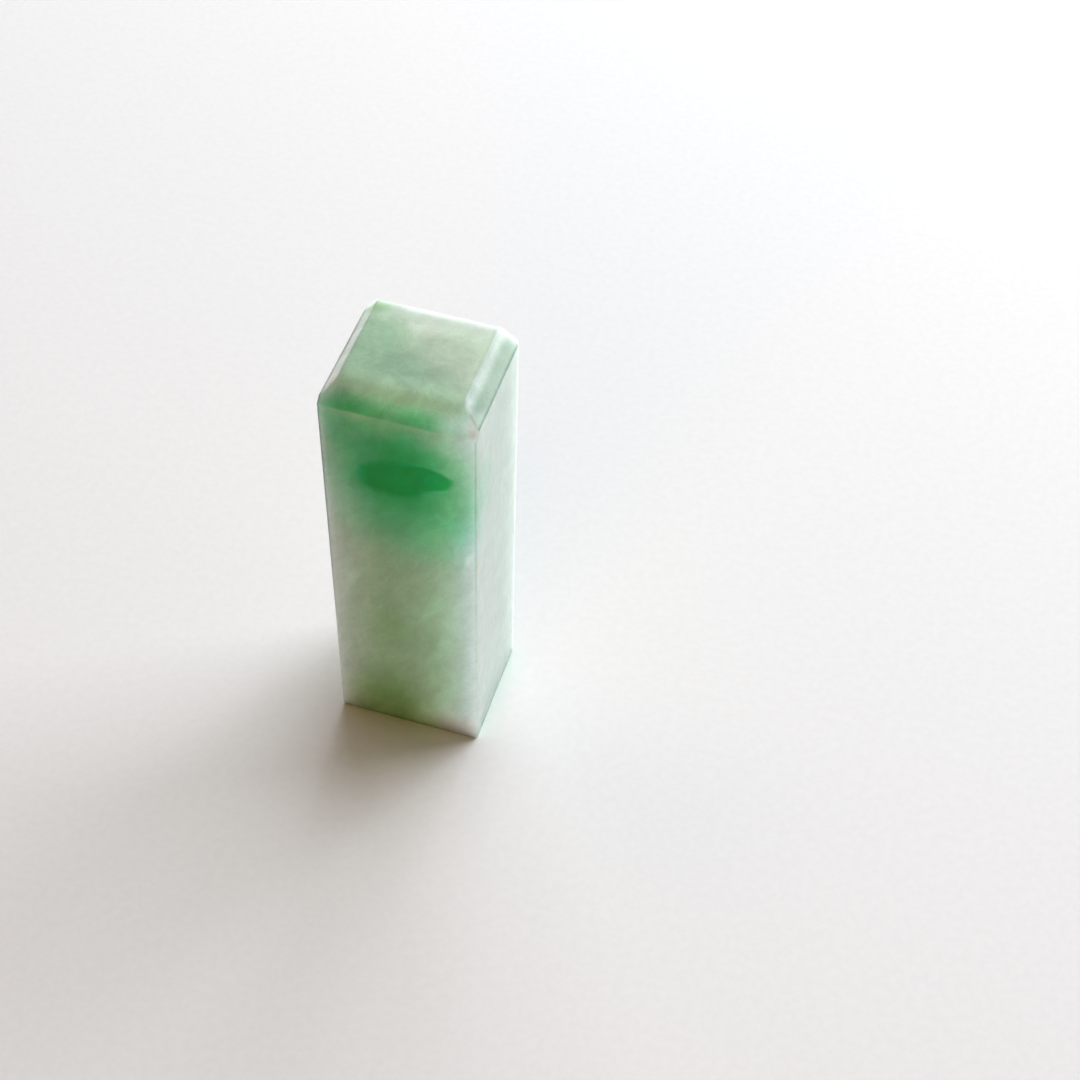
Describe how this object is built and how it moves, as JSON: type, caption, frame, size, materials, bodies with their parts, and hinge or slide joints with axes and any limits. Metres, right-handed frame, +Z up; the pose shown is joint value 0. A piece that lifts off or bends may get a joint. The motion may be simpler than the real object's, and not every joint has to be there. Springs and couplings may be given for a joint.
{
  "type": "seal stamp",
  "caption": "Upright rectangular jade seal stone with a bevelled head and a carved ornament on its foot, held in the fingers to stamp ink paste onto paper.",
  "frame": {"origin": "middle of the seal face at the stone's foot, on the surface that it stands on", "axes": "+Z up the stone to its bevelled head, -Y out of the front, the wider side with the widest bevel above it, +X to the right seen from the front"},
  "size_m": [0.012, 0.0102, 0.0382],
  "materials": {
    "jade": "polished translucent jade, pale grey-green with cloudy white and a vivid green patch high on the front"
  },
  "bodies": {
    "root": {"seal_stone": "jade"}
  },
  "joints": []
}
